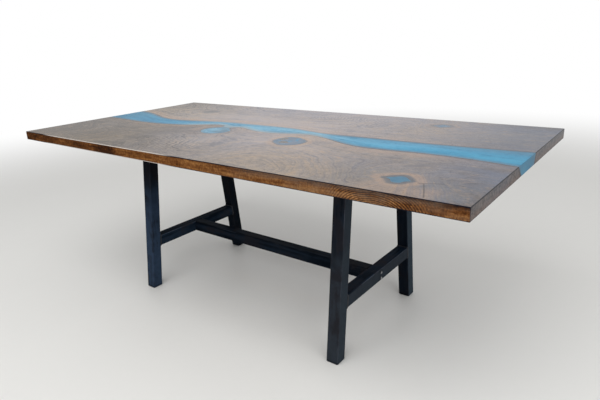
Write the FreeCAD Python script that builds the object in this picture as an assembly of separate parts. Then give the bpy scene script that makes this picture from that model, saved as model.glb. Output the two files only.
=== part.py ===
import FreeCAD, Part
import math
import os

from FreeCAD import Vector

# A rigid dining table, in millimetres, with +Z up. The origin lies on the floor under the middle of
# the top. X runs along the length to the right end, and the front long side is at -Y.
# Two wooden slabs with resin between them lie on two welded frames of square steel tube, whose legs
# splay across the width. A long stretcher is bolted between the frames' cross rails.

# Whole table
table_height = 760.0
top_length = 2100.0
top_width = 1050.0

# Top
top_thickness = 38.0
top_corner_radius = 3.0
top_edge_radius = 2.0

# River between the slabs. Each row of an edge is a place along the length and a place across the
# width, as shares of those sizes. The last value of a front row is how far the front slab's natural
# edge runs back under the resin, from the upper face to the lower, as a share of the thickness.
river_back_shares = (
    (-0.5, 0.131), (-0.405, 0.076), (-0.333, 0.024), (-0.286, 0.017), (-0.238, 0.031),
    (-0.167, 0.061), (-0.071, 0.072), (0.0, 0.075), (0.048, 0.069), (0.119, 0.041),
    (0.19, 0.04), (0.286, 0.042), (0.381, 0.05), (0.5, 0.07),
)
river_back_lean_share = 0.25
river_front_shares = (
    (-0.5, -0.071, 0.8), (-0.405, -0.084, 0.7), (-0.31, -0.092, 0.6), (-0.238, -0.071, 0.6),
    (-0.19, -0.038, 0.5), (-0.162, -0.008, 0.4), (-0.133, 0.006, 0.3), (-0.116, -0.008, 0.3),
    (-0.113, -0.033, 0.3), (-0.126, -0.062, 0.3), (-0.132, -0.098, 0.4), (-0.122, -0.137, 0.7),
    (-0.1, -0.161, 1.0), (-0.077, -0.149, 0.9), (-0.065, -0.114, 0.6), (-0.068, -0.073, 0.4),
    (-0.085, -0.044, 0.3), (-0.089, -0.018, 0.3), (-0.077, -0.001, 0.3), (-0.055, -0.008, 0.4),
    (-0.027, -0.029, 0.6), (0.0, -0.04, 0.7), (0.027, -0.041, 0.7), (0.065, -0.023, 0.6),
    (0.1, -0.006, 0.5), (0.129, -0.012, 0.5), (0.167, -0.04, 0.7), (0.214, -0.081, 0.9),
    (0.262, -0.098, 1.0), (0.333, -0.089, 1.0), (0.405, -0.09, 1.0), (0.452, -0.1, 1.0),
    (0.5, -0.119, 1.05),
)
points_per_face = 4             # rows of an edge that one face of the river's side covers

# Resin-filled knots. The outline is a smooth closed curve whose radii, at equal angles from +X, are
# shares of half the knot's own two sizes. The place is a share of the top's length and width.
knot_depth = 30.0
knot_floor_share = 0.6          # how far the void draws in on its way down
knots = {
    "front_knot_fill_middle": {
        "slab": "front_slab",
        "place_shares": (0.109, -0.131),
        "length": 142.0,
        "width": 136.0,
        "radius_shares": (1.02, 0.96, 0.9, 1.0, 1.08, 1.04, 0.98, 0.94, 0.92, 1.02, 1.08, 1.06),
    },
    "front_knot_fill_right": {
        "slab": "front_slab",
        "place_shares": (0.386, -0.382),
        "length": 76.0,
        "width": 66.0,
        "radius_shares": (1.04, 0.8, 0.84, 0.98, 0.82, 0.8, 1.02, 0.66, 0.78, 1.08, 1.02, 0.78),
    },
    "back_knot_fill_right": {
        "slab": "back_slab",
        "place_shares": (0.296, 0.367),
        "length": 76.0,
        "width": 58.0,
        "radius_shares": (1.0, 0.9, 1.04, 0.92, 0.98, 0.86, 1.02, 0.84),
    },
}

# Bits of knot wood that stand in the resin of the middle knot, placed from that knot's middle
core_knot = "front_knot_fill_middle"
core_foot_share = 1.25
knot_cores = (
    {"place": (-44.0, 22.0), "length": 30.0, "width": 42.0,
     "radius_shares": (0.8, 1.04, 0.94, 0.86, 1.06, 0.84, 0.96)},
    {"place": (-10.0, -24.0), "length": 44.0, "width": 34.0,
     "radius_shares": (1.06, 0.82, 0.98, 0.88, 1.02, 0.92, 0.84, 0.96)},
)

# Frames
frame_spacing = 1050.0          # from one frame's middle plane to the other's
foot_spread = 592.0             # between the feet's middles, at the floor
leg_top_spread = 438.0          # between the legs' middles, at the underside of the top
rail_height = 250.0             # upper faces of the cross rails and the stretcher

# Square tube of the legs, rails and stretcher
tube_size = 50.0
tube_wall = 3.0
tube_radius = 5.0
tube_inner_radius = 2.0

# Feet
foot_cap_thickness = 5.0
foot_pad_thickness = 3.0
foot_pad_inset = 2.0
foot_pad_radius = 4.0

# Plates between the leg tops and the slabs
plate_width = 100.0
plate_thickness = 8.0
plate_radius = 8.0
plate_end = 46.0                # from the last slot's middle to the plate's end
slot_distance = 85.0            # from a leg's middle to the slot on each side of it
slot_length = 18.0

# Button head bolts
bolt_diameter = 8.0
bolt_hole_gap = 0.5             # around a bolt in a drilled hole
thread_gap = 0.05               # around a bolt in a thread
bolt_head_diameter = 14.0
bolt_head_height = 4.4
bolt_head_rim = 1.2
bolt_head_flat_diameter = 7.6
socket_across_flats = 5.0
socket_depth = 2.6
top_bolt_grip = 15.0            # thread of a top bolt that sits in its insert
stretcher_bolt_tip = 2.0        # end of a stretcher bolt past the end plate
stretcher_bolt_pitch = 24.0

# Small pieces round the bolts
washer_diameter = 24.0
washer_gap = 0.2                # around the bolt
washer_thickness = 2.0
insert_wall = 1.95
insert_length = 20.0
insert_hole_spare = 3.0         # depth of the hole beyond the insert
crush_tube_wall = 2.5
end_plate_thickness = 8.0
end_plate_gap = 0.5             # between the plate's rim and the tube's wall

overrun = 5.0                   # how far every cutting shape reaches past what it cuts

# Heights and places that follow from the sizes above
top_underside = table_height - top_thickness
plate_underside = top_underside - plate_thickness
cap_underside = foot_pad_thickness
leg_foot = cap_underside + foot_cap_thickness
leg_lean = math.atan2((foot_spread - leg_top_spread) / 2, top_underside)
rail_middle_height = rail_height - tube_size / 2
rail_reach = foot_spread / 2 - rail_middle_height * math.tan(leg_lean)
tube_bore = tube_size - 2 * tube_wall
frame_sides = {"left": -1, "right": 1}
leg_sides = {"front": -1, "back": 1}
bolt_hole_diameter = bolt_diameter + 2 * bolt_hole_gap
thread_diameter = bolt_diameter + 2 * thread_gap
insert_diameter = thread_diameter + 2 * insert_wall
outer_slot = leg_top_spread / 2 + slot_distance
inner_slot = leg_top_spread / 2 - slot_distance
slot_places = (-outer_slot, -inner_slot, inner_slot, outer_slot)
plate_length = 2 * (outer_slot + plate_end)
bolt_heights = (rail_middle_height - stretcher_bolt_pitch / 2,
                rail_middle_height + stretcher_bolt_pitch / 2)


# Curves and outlines

def smooth_edges(points, guide):
    # A smooth curve through the points, as a row of short edges. Its parameters are the guide's
    # chord lengths, so that one edge's curves at two heights are ruled point to point.
    lengths = [0.0]
    for start, end in zip(guide, guide[1:]):
        lengths.append(lengths[-1] + start.distanceToPoint(end))
    whole = Part.BSplineCurve()
    whole.interpolate(Points=points, Parameters=lengths)
    joints = lengths[:-1:points_per_face] + lengths[-1:]
    edges = []
    for start, end in zip(joints, joints[1:]):
        stretch = whole.copy()
        stretch.segment(start, end)
        edges.append(stretch.toShape())
    return edges


def smooth_ring(points):
    curve = Part.BSplineCurve()
    curve.interpolate(Points=points, PeriodicFlag=True)
    return Part.Wire(curve.toShape())


def river_edge_points(rows, lean_shares, height):
    # The ends run past the table's ends, and the points move across by their lean at this height.
    drop = table_height - height
    points = []
    for row, lean_share in zip(rows, lean_shares):
        x = row[0] * top_length
        if abs(row[0]) == 0.5:
            x += math.copysign(overrun, x)
        points.append(Vector(x, row[1] * top_width + lean_share * drop, height))
    return points


def river_wire(height):
    back_leans = [-river_back_lean_share] * len(river_back_shares)
    front_leans = [row[2] for row in river_front_shares]
    back = river_edge_points(river_back_shares, back_leans, height)
    front = river_edge_points(river_front_shares, front_leans, height)
    back_guide = river_edge_points(river_back_shares, back_leans, table_height)
    front_guide = river_edge_points(river_front_shares, front_leans, table_height)
    front_edges = smooth_edges(front, front_guide)
    back_edges = smooth_edges(back, back_guide)
    right_end = Part.makeLine(front[-1], back[-1])
    left_end = Part.makeLine(back[0], front[0])
    return Part.Wire(front_edges + [right_end] + back_edges[::-1] + [left_end])


def ring_wire(middle, length, width, radius_shares, height):
    points = []
    for step, share in enumerate(radius_shares):
        angle = 2 * math.pi * step / len(radius_shares)
        across = length / 2 * share * math.cos(angle)
        along = width / 2 * share * math.sin(angle)
        points.append(Vector(middle.x + across, middle.y + along, height))
    return smooth_ring(points)


# Solids that several pieces use

def ruled_solid(low_wire, high_wire):
    return Part.makeLoft([low_wire, high_wire], True, True)


def upright_edges(shape):
    edges = []
    for edge in shape.Edges:
        start, end = edge.Vertexes[0].Point, edge.Vertexes[-1].Point
        if math.hypot(start.x - end.x, start.y - end.y) < abs(start.z - end.z):
            edges.append(edge)
    return edges


def rounded_block(length, width, height, radius):
    # A block with rounded upright edges, standing on z = 0 with its middle over the origin
    block = Part.makeBox(length, width, height, Vector(-length / 2, -width / 2, 0))
    return block.makeFillet(radius, upright_edges(block))


def moved(shape, x, y, z):
    copy = shape.copy()
    copy.translate(Vector(x, y, z))
    return copy


def turned(shape, axis, degrees):
    copy = shape.copy()
    copy.rotate(Vector(0, 0, 0), axis, degrees)
    return copy


def between_heights(shape, low, high):
    box = shape.BoundBox
    band = Part.makeBox(box.XLength + 2 * overrun, box.YLength + 2 * overrun, high - low,
                        Vector(box.XMin - overrun, box.YMin - overrun, low))
    return shape.common(band)


def square_bar(length):
    return rounded_block(tube_size, tube_size, length, tube_radius)


def square_tube(length):
    bore = rounded_block(tube_bore, tube_bore, length + 2 * overrun, tube_inner_radius)
    return square_bar(length).cut(moved(bore, 0, 0, -overrun))


def cylinder(diameter, height, z=0):
    return Part.makeCylinder(diameter / 2, height, Vector(0, 0, z))


def ring(outer_diameter, inner_diameter, height):
    hole = cylinder(inner_diameter, height + 2 * overrun, -overrun)
    return cylinder(outer_diameter, height).cut(hole)


def slot_cutter(width, length, height):
    # A slot along Y with round ends, standing on z = 0
    straight = length - width
    slot = Part.makeBox(width, straight, height, Vector(-width / 2, -straight / 2, 0))
    for end in leg_sides.values():
        slot = slot.fuse(moved(cylinder(width, height), 0, end * straight / 2, 0))
    return slot.removeSplitter()


def button_bolt(length):
    # The bearing face of the head is at z = 0, the head above it and the shank below.
    head_radius = bolt_head_diameter / 2
    flat_radius = bolt_head_flat_diameter / 2
    corners = [Vector(0, 0, 0), Vector(head_radius, 0, 0), Vector(head_radius, 0, bolt_head_rim),
               Vector(flat_radius, 0, bolt_head_height), Vector(0, 0, bolt_head_height)]
    swell = (bolt_head_height - bolt_head_rim) / 4
    crown = (corners[2] + corners[3]) / 2 + Vector(swell, 0, swell)
    edges = [
        Part.makeLine(corners[0], corners[1]),
        Part.makeLine(corners[1], corners[2]),
        Part.Arc(corners[2], crown, corners[3]).toShape(),
        Part.makeLine(corners[3], corners[4]),
        Part.makeLine(corners[4], corners[0]),
    ]
    head = Part.Face(Part.Wire(edges)).revolve(Vector(0, 0, 0), Vector(0, 0, 1), 360)
    bolt = head.fuse(cylinder(bolt_diameter, length, -length)).removeSplitter()
    corner_radius = socket_across_flats / math.sqrt(3)
    socket_floor = bolt_head_height - socket_depth
    hexagon = []
    for step in range(7):
        angle = math.pi * step / 3
        hexagon.append(Vector(corner_radius * math.cos(angle), corner_radius * math.sin(angle),
                              socket_floor))
    socket = Part.Face(Part.makePolygon(hexagon)).extrude(Vector(0, 0, socket_depth + overrun))
    return bolt.cut(socket)


# Top

def make_blank():
    # The whole top with its eased edges, before it is divided into slabs and resin
    blank = rounded_block(top_length, top_width, top_thickness, top_corner_radius)
    blank.translate(Vector(0, 0, top_underside))
    level_edges = []
    for edge in blank.Edges:
        if edge.BoundBox.ZLength < top_thickness / 2:
            level_edges.append(edge)
    return blank.makeFillet(top_edge_radius, level_edges)


def make_river_cutter():
    return ruled_solid(river_wire(top_underside - overrun), river_wire(table_height + overrun))


def make_knot_cutter(knot):
    middle = Vector(knot["place_shares"][0] * top_length, knot["place_shares"][1] * top_width, 0)
    low = ring_wire(middle, knot["length"] * knot_floor_share, knot["width"] * knot_floor_share,
                    knot["radius_shares"], table_height - knot_depth)
    high = ring_wire(middle, knot["length"], knot["width"], knot["radius_shares"],
                     table_height + overrun)
    return ruled_solid(low, high)


def make_core_cutter(core):
    knot = knots[core_knot]
    middle = Vector(knot["place_shares"][0] * top_length + core["place"][0],
                    knot["place_shares"][1] * top_width + core["place"][1], 0)
    low = ring_wire(middle, core["length"] * core_foot_share, core["width"] * core_foot_share,
                    core["radius_shares"], table_height - knot_depth - overrun)
    high = ring_wire(middle, core["length"], core["width"], core["radius_shares"],
                     table_height + overrun)
    return ruled_solid(low, high)


def insert_places():
    return [(side * frame_spacing / 2, y) for side in frame_sides.values() for y in slot_places]


def make_top():
    blank = make_blank()
    river_cutter = make_river_cutter()
    slabs = sorted(blank.cut(river_cutter).Solids, key=lambda solid: solid.CenterOfMass.y)
    pieces = {"front_slab": slabs[0], "back_slab": slabs[1]}
    pieces["river_resin"] = blank.common(river_cutter)
    for name, knot in knots.items():
        cutter = make_knot_cutter(knot)
        pieces[name] = blank.common(cutter)
        pieces[knot["slab"]] = pieces[knot["slab"]].cut(cutter)
    cores = []
    for core in knot_cores:
        cutter = make_core_cutter(core)
        cores.append(pieces[core_knot].common(cutter))
        pieces[core_knot] = pieces[core_knot].cut(cutter)
    pieces["middle_knot_cores"] = Part.makeCompound(cores)
    hole = cylinder(insert_diameter, overrun + insert_length + insert_hole_spare, -overrun)
    for x, y in insert_places():
        slab = "front_slab" if y < 0 else "back_slab"
        pieces[slab] = pieces[slab].cut(moved(hole, x, y, top_underside))
    return pieces


# Frames

def leaned(shape, x, side):
    # Leans an upright shape as a leg does and puts its foot's middle at the floor.
    tilted = turned(shape, Vector(1, 0, 0), side * math.degrees(leg_lean))
    return moved(tilted, x, side * foot_spread / 2, 0)


def make_leg_envelope(x, side):
    # The leg's outer shape as a solid bar that runs past both of its ends
    bar = square_bar(table_height + 2 * tube_size)
    return leaned(moved(bar, 0, 0, -tube_size), x, side)


def make_leg(x, side):
    tube = square_tube(table_height + 2 * tube_size)
    return between_heights(leaned(moved(tube, 0, 0, -tube_size), x, side), leg_foot, plate_underside)


def make_foot_cap(x, side):
    return between_heights(make_leg_envelope(x, side), cap_underside, leg_foot)


def make_foot_pad(x, side):
    pad_size = tube_size - 2 * foot_pad_inset
    pad = rounded_block(pad_size, pad_size, foot_pad_thickness, foot_pad_radius)
    return moved(pad, x, side * foot_spread / 2, 0)


def make_cross_rail(x):
    rail = moved(square_tube(2 * rail_reach), 0, 0, -rail_reach)
    rail = moved(turned(rail, Vector(1, 0, 0), 90), x, 0, rail_middle_height)
    for side in leg_sides.values():
        rail = rail.cut(make_leg_envelope(x, side))
    reach = tube_size / 2 + overrun
    drill = turned(cylinder(bolt_hole_diameter, 2 * reach, -reach), Vector(0, 1, 0), 90)
    for height in bolt_heights:
        rail = rail.cut(moved(drill, x, 0, height))
    return rail


def make_top_plate(x):
    plate = rounded_block(plate_width, plate_length, plate_thickness, plate_radius)
    slot = slot_cutter(bolt_hole_diameter, slot_length, plate_thickness + 2 * overrun)
    for y in slot_places:
        plate = plate.cut(moved(slot, 0, y, -overrun))
    return moved(plate, x, 0, plate_underside)


def make_crush_tubes(x):
    tube = ring(bolt_hole_diameter + 2 * crush_tube_wall, bolt_hole_diameter, tube_bore)
    tube = turned(moved(tube, 0, 0, -tube_bore / 2), Vector(0, 1, 0), 90)
    return Part.makeCompound([moved(tube, x, 0, height) for height in bolt_heights])


def make_stretcher_end_plate(x, outward):
    size = tube_bore - 2 * end_plate_gap
    plate = rounded_block(size, size, end_plate_thickness, tube_inner_radius)
    plate = turned(moved(plate, 0, 0, -end_plate_thickness), Vector(0, 1, 0), outward * 90)
    outer_face = x - outward * tube_size / 2
    plate = moved(plate, outer_face, 0, rail_middle_height)
    reach = end_plate_thickness + overrun
    drill = turned(cylinder(thread_diameter, 2 * reach, -reach), Vector(0, 1, 0), 90)
    for height in bolt_heights:
        plate = plate.cut(moved(drill, outer_face, 0, height))
    return plate


def make_stretcher_bolts(x, outward):
    length = tube_size + end_plate_thickness + stretcher_bolt_tip
    bolt = turned(button_bolt(length), Vector(0, 1, 0), outward * 90)
    head_face = x + outward * tube_size / 2
    return Part.makeCompound([moved(bolt, head_face, 0, height) for height in bolt_heights])


def make_top_bolts(x):
    length = washer_thickness + plate_thickness + top_bolt_grip
    bolt = turned(button_bolt(length), Vector(1, 0, 0), 180)
    seat = plate_underside - washer_thickness
    return Part.makeCompound([moved(bolt, x, y, seat) for y in slot_places])


def make_top_washers(x):
    washer = ring(washer_diameter, bolt_diameter + 2 * washer_gap, washer_thickness)
    seat = plate_underside - washer_thickness
    return Part.makeCompound([moved(washer, x, y, seat) for y in slot_places])


def make_slab_inserts(x):
    insert = ring(insert_diameter, thread_diameter, insert_length)
    return Part.makeCompound([moved(insert, x, y, top_underside) for y in slot_places])


def make_frame(name, outward):
    x = outward * frame_spacing / 2
    pieces = {}
    for side_name, side in leg_sides.items():
        pieces[f"{name}_{side_name}_leg"] = make_leg(x, side)
        pieces[f"{name}_{side_name}_foot_cap"] = make_foot_cap(x, side)
        pieces[f"{name}_{side_name}_foot_pad"] = make_foot_pad(x, side)
    pieces[f"{name}_cross_rail"] = make_cross_rail(x)
    pieces[f"{name}_top_plate"] = make_top_plate(x)
    pieces[f"{name}_crush_tubes"] = make_crush_tubes(x)
    pieces[f"{name}_stretcher_end_plate"] = make_stretcher_end_plate(x, outward)
    pieces[f"{name}_stretcher_bolts"] = make_stretcher_bolts(x, outward)
    pieces[f"{name}_top_bolts"] = make_top_bolts(x)
    pieces[f"{name}_top_washers"] = make_top_washers(x)
    pieces[f"{name}_slab_inserts"] = make_slab_inserts(x)
    return pieces


def make_long_stretcher():
    length = frame_spacing - tube_size
    tube = turned(moved(square_tube(length), 0, 0, -length / 2), Vector(0, 1, 0), 90)
    return moved(tube, 0, 0, rail_middle_height)


# Write every piece to its own file

os.makedirs("parts", exist_ok=True)
table = make_top()
for frame_name, frame_side in frame_sides.items():
    table.update(make_frame(frame_name, frame_side))
table["long_stretcher"] = make_long_stretcher()
for piece_name, piece in table.items():
    print(f"{piece_name}: {len(piece.Solids)} solid(s), {piece.Volume / 1000:.1f} cm3,"
          f" valid {piece.isValid()}")
    piece.exportStep(f"parts/{piece_name}.step")
print(f"{len(table)} pieces written")
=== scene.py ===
import math

import bpy
import numpy as np
from mathutils import Matrix, Vector


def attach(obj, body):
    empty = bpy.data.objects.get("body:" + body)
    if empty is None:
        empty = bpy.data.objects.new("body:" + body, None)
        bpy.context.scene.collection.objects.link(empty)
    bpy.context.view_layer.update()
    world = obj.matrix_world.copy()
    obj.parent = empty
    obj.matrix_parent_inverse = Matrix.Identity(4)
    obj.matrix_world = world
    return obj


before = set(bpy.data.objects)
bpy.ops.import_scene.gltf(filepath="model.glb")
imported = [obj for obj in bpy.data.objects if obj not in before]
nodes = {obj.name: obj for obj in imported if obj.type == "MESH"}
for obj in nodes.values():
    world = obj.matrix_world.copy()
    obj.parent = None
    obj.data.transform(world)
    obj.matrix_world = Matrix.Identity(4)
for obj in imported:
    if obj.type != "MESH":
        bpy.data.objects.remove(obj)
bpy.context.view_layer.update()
print("frame loaded:", len(nodes), "nodes")


class Wire:
    # One socket of a material. Reckoning with it adds Math nodes, so a pattern reads as a formula.
    def __init__(self, socket):
        self.socket = socket

    def node(self, kind, settings=None, sockets=None, out=0):
        # Any other node: its type, its settings, and the values or links of its sockets
        made = self.socket.id_data.nodes.new("ShaderNode" + kind)
        for name, value in (settings or {}).items():
            if name == "stops":
                for place, colour in value[1:-1]:
                    made.color_ramp.elements.new(place).color = (*colour, 1.0)
                first, last = made.color_ramp.elements[0], made.color_ramp.elements[-1]
                first.position, first.color = value[0][0], (*value[0][1], 1.0)
                last.position, last.color = value[-1][0], (*value[-1][1], 1.0)
            elif name == "curve":
                line = made.mapping.curves[0]
                line.points[0].location, line.points[-1].location = value[0], value[-1]
                for place in value[1:-1]:
                    line.points.new(*place)
                made.mapping.update()
            else:
                setattr(made, name, value)
        for name, value in (sockets or {}).items():
            fill(made.inputs[name], value)
        return Wire(made.outputs[out])

    def also(self, out):
        return Wire(self.socket.node.outputs[out])  # another output of the same node

    def math(self, operation, *values):
        return self.node("Math", {"operation": operation}, dict(enumerate(values)))

    def __add__(self, other):
        return self.math("ADD", self, other)

    def __sub__(self, other):
        return self.math("SUBTRACT", self, other)

    def __rsub__(self, other):
        return self.math("SUBTRACT", other, self)

    def __mul__(self, other):
        return self.math("MULTIPLY", self, other)

    def __truediv__(self, other):
        return self.math("DIVIDE", self, other)

    def __rtruediv__(self, other):
        return self.math("DIVIDE", other, self)

    def __abs__(self):
        return self.math("ABSOLUTE", self)

    __radd__, __rmul__ = __add__, __mul__

    def mix(self, first, second):
        # This wire is the share of the second colour
        return self.node("Mix", {"data_type": "RGBA"}, {0: self, 6: first, 7: second}, out=2)

    def shade(self, strength):
        return self.node("VectorMath", {"operation": "SCALE"}, {0: self, "Scale": strength})


def fill(socket, value):
    # Links a wire to a socket, or sets the socket's own value
    if isinstance(value, Wire):
        socket.id_data.links.new(value.socket, socket)
    else:
        socket.default_value = (*value, 1.0) if socket.type == "RGBA" else value


def step(value, low, high):
    # 0 up to low and 1 from high on, with a smooth rise between. Where low is the larger, it falls.
    sockets = {"Value": value, "From Min": low, "From Max": high}
    return value.node("MapRange", {"interpolation_type": "SMOOTHSTEP"}, sockets)


def near(value, middle, reach, core):
    # 1 within the core round the middle, falling to 0 at the reach
    return step(abs(value - middle), reach, core)


def length(*parts):
    # Root of the sum of the squares
    total = parts[0] * parts[0]
    for part in parts[1:]:
        total = total + part * part
    return total.math("SQRT", total)


def largest(first, *others):
    for other in others:
        first = first.math("MAXIMUM", first, other)
    return first


def smallest(first, *others):
    for other in others:
        first = first.math("MINIMUM", first, other)
    return first


def vector(x, y, z):
    wire = next(part for part in (x, y, z) if isinstance(part, Wire))
    return wire.node("CombineXYZ", {}, {0: x, 1: y, 2: z})


def noise(place, scale, detail=2.0, roughness=0.5, distortion=0.0):
    sockets = {"Vector": place, "Scale": scale, "Detail": detail, "Roughness": roughness,
               "Distortion": distortion}
    return place.node("TexNoise", {}, sockets)


def pattern(x, y, z, detail=2.0, roughness=0.5):
    return noise(vector(x, y, z), 1.0, detail, roughness)


def follow(value, rows):
    # A Float Curve through rows of a place and a height, in their own units on both sides
    rows = np.asarray(rows, float)
    low, span = rows.min(0), rows.max(0) - rows.min(0)
    share = (value - float(low[0])) / float(span[0])
    line = value.node("FloatCurve", {"curve": ((rows - low) / span).tolist()}, {"Value": share})
    return line * float(span[1]) + float(low[1])


def byPlace(x, rows):
    # The same through rows of a place along the length in centimetres and a value in percent
    return follow(x, np.array(rows) / 100)


def newMaterial(name):
    # A Principled material and the wire of its Object coordinates
    material = bpy.data.materials.new(name)
    material.use_nodes = True
    tree = material.node_tree
    tree.nodes.clear()
    shader = tree.nodes.new("ShaderNodeBsdfPrincipled")
    surface = tree.nodes.new("ShaderNodeOutputMaterial")
    tree.links.new(shader.outputs[0], surface.inputs[0])
    return material, Wire(tree.nodes.new("ShaderNodeTexCoord").outputs["Object"])


def findNode(holder, kind):
    return next(node for node in holder.node_tree.nodes if node.type == kind)


def finishMaterial(material, colour, roughness, others, height=None, bump=None):
    # Puts values and wires on the shader's own sockets. height goes through a Bump node.
    shader = findNode(material, "BSDF_PRINCIPLED")
    sockets = {"Base Color": colour, "Roughness": roughness, **others}
    if height is not None:
        strength, distance = bump
        sockets["Normal"] = height.node("Bump", {}, {"Strength": strength, "Distance": distance,
                                                     "Height": height})
    for name, value in sockets.items():
        fill(shader.inputs[name], value)
    return material


def separate(place):
    x = place.node("SeparateXYZ", {}, {0: place}, out="X")
    return x, x.also("Y"), x.also("Z")


def dress(endings, material):
    # Gives the material to every CAD node whose name has one of the endings
    for name, node in nodes.items():
        if name.endswith(endings):
            for materialSlot in node.material_slots:
                materialSlot.material = material


# Sizes of the finished table
table = {
    "length": 2.1, "width": 1.05, "height": 0.76, "thickness": 0.038,
    "frameReach": 0.525,  # the frames' middle planes
    "footReach": 0.296,  # the feet's middles, at the floor
    "legTopReach": 0.219,  # the legs' middles, at the underside of the top
    "railHeight": 0.225,  # the rails' and the stretcher's middle line
    "tube": 0.05, "tubeRadius": 0.005, "plateThickness": 0.008,
    "capTop": 0.008,  # height of the foot caps' upper faces
    # a point is on a side from this far inside it, and fully from the second value on
    "onSide": (-0.0021, -0.0006), "onFace": (-0.0036, -0.0012), "eased": (1.02, 1.6),
}
halfLength, halfWidth = table["length"] / 2, table["width"] / 2
underside = table["height"] - table["thickness"]
legLean = (table["footReach"] - table["legTopReach"]) / underside

# Banks of the river, at the upper face. A row is a place along the length and across the width, in
# thousandths of the top's sizes. The resin's lobe in the front slab lies between the neck rows.
river = {
    "back": ((-500, 131), (-405, 76), (-333, 24), (-286, 17), (-238, 31), (-167, 61), (-71, 72),
             (0, 75), (48, 69), (119, 41), (190, 40), (286, 42), (381, 50), (500, 70)),
    "front": ((-500, -71), (-405, -84), (-310, -92), (-238, -71), (-190, -38), (-162, -8),
              (-133, 6), (-116, -8), (-113, -33), (-126, -62), (-132, -98), (-122, -137),
              (-100, -161), (-77, -149), (-65, -114), (-68, -73), (-85, -44), (-89, -18),
              (-77, -1), (-55, -8), (-27, -29), (0, -40), (27, -41), (65, -23), (100, -6),
              (129, -12), (167, -40), (214, -81), (262, -98), (333, -89), (405, -90), (452, -100),
              (500, -119)),
    "neckRows": (7, 17),
    "lobeMiddle": (-0.207, -0.11), "neckRadius": 0.15,
    "perSpan": 10, "bankRows": 71, "lobeRows": 73,  # points of the smooth lines and the curves
    "backLean": -0.25, "frontLean": 0.8,  # how far a bank moves across for each metre down
    # how pale and how light the resin is, by place; the darkening at the left end is painted shade
    "pale": ((-105, 0), (-60, 6), (-50, 22), (-40, 65), (-30, 88), (-20, 98), (-10, 80), (0, 85),
             (10, 95), (20, 90), (30, 72), (40, 42), (50, 26), (70, 12), (90, 0), (105, 0)),
    "light": ((-105, 82), (-95, 86), (-80, 103), (-50, 106), (-30, 104), (0, 104), (20, 98),
              (30, 102), (50, 103), (70, 108), (85, 102), (95, 96), (105, 94)),
}


def smoothLine(rows):
    # Natural cubic spline through the rows. Its parameter is the chord length, and its second
    # derivatives solve the usual three-term equations.
    perSpan = river["perSpan"]
    points = np.array(rows) / 1000 * (table["length"], table["width"])
    chords = np.linalg.norm(np.diff(points, axis=0), axis=1)
    slopes = np.diff(points, axis=0) / chords[:, None]
    count = len(points)
    matrix, right = np.eye(count), np.zeros((count, 2))
    inner = np.arange(1, count - 1)
    matrix[inner, inner - 1], matrix[inner, inner + 1] = chords[:-1], chords[1:]
    matrix[inner, inner] = 2 * (chords[:-1] + chords[1:])
    right[1:-1] = 6 * np.diff(slopes, axis=0)
    bend = np.linalg.solve(matrix, right)
    t = np.tile(np.linspace(0, 1, perSpan, endpoint=False), count - 1)[:, None]
    span = np.repeat(np.arange(count - 1), perSpan)
    h = chords[span][:, None]
    line = ((1 - t) * points[span] + t * points[span + 1]
            + h * h / 6 * (((1 - t) ** 3 - (1 - t)) * bend[span] + (t ** 3 - t) * bend[span + 1]))
    return np.vstack([line, points[-1:]])


def riverBanks():
    # Each bank as its y over evenly spaced x, and the lobe as its radius over the angle round its
    # middle. The lobe's radius runs far out where the neck opens into the river.
    back, front = smoothLine(river["back"]), smoothLine(river["front"])
    first, last = (row * river["perSpan"] for row in river["neckRows"])
    opened = np.vstack([front[:first + 1], front[last:]])
    xs = np.linspace(-halfLength, halfLength, river["bankRows"])
    lobe = front[first:last + 1] - river["lobeMiddle"]
    angles = np.unwrap(np.arctan2(lobe[:, 1], lobe[:, 0]))
    radii = np.hypot(lobe[:, 0], lobe[:, 1])
    turn = np.linspace(-math.pi, math.pi, river["lobeRows"])
    around = np.mod(turn - angles.min(), 2 * math.pi) + angles.min()
    order = np.argsort(angles)
    radius = np.interp(around, angles[order], radii[order])
    radius = np.where(around > angles.max(), river["neckRadius"], radius)
    return {"back": np.stack([xs, np.interp(xs, *back.T)], 1),
            "front": np.stack([xs, np.interp(xs, *opened.T)], 1),
            "lobe": np.stack([turn, radius], 1)}


banks = riverBanks()


def bankWires(x, y, z):
    # The river's banks at a point's x, each moved across by its lean at the point's depth
    drop = table["height"] - z
    back = follow(x, banks["back"]) + drop * river["backLean"]
    front = follow(x, banks["front"]) + drop * river["frontLean"]
    return back, front


def lobeDistance(x, y):
    # How far a point is outside the lobe's outline
    across, along = y - river["lobeMiddle"][1], x - river["lobeMiddle"][0]
    turn = x.math("ARCTAN2", across, along)
    return length(along, across) - follow(turn, banks["lobe"])


def knotDistance(x, y, knot):
    # How far a point is outside a knot's outline. Its radii, in percent of half the size, stand at
    # equal angles from +X.
    reachX, reachY = knot["size"][0] / 2, knot["size"][1] / 2
    along, across = (x - knot["place"][0]) / reachX, (y - knot["place"][1]) / reachY
    radii = np.array(knot["radii"] + knot["radii"][:1]) / 100
    turn = along.math("ARCTAN2", across, along)
    turn = turn + step(turn, 0.0, -1e-6) * (2 * math.pi)
    share = follow(turn, np.stack([np.linspace(0, 2 * math.pi, len(radii)), radii], 1))
    return (length(along, across) - share) * ((reachX + reachY) / 2)
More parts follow.
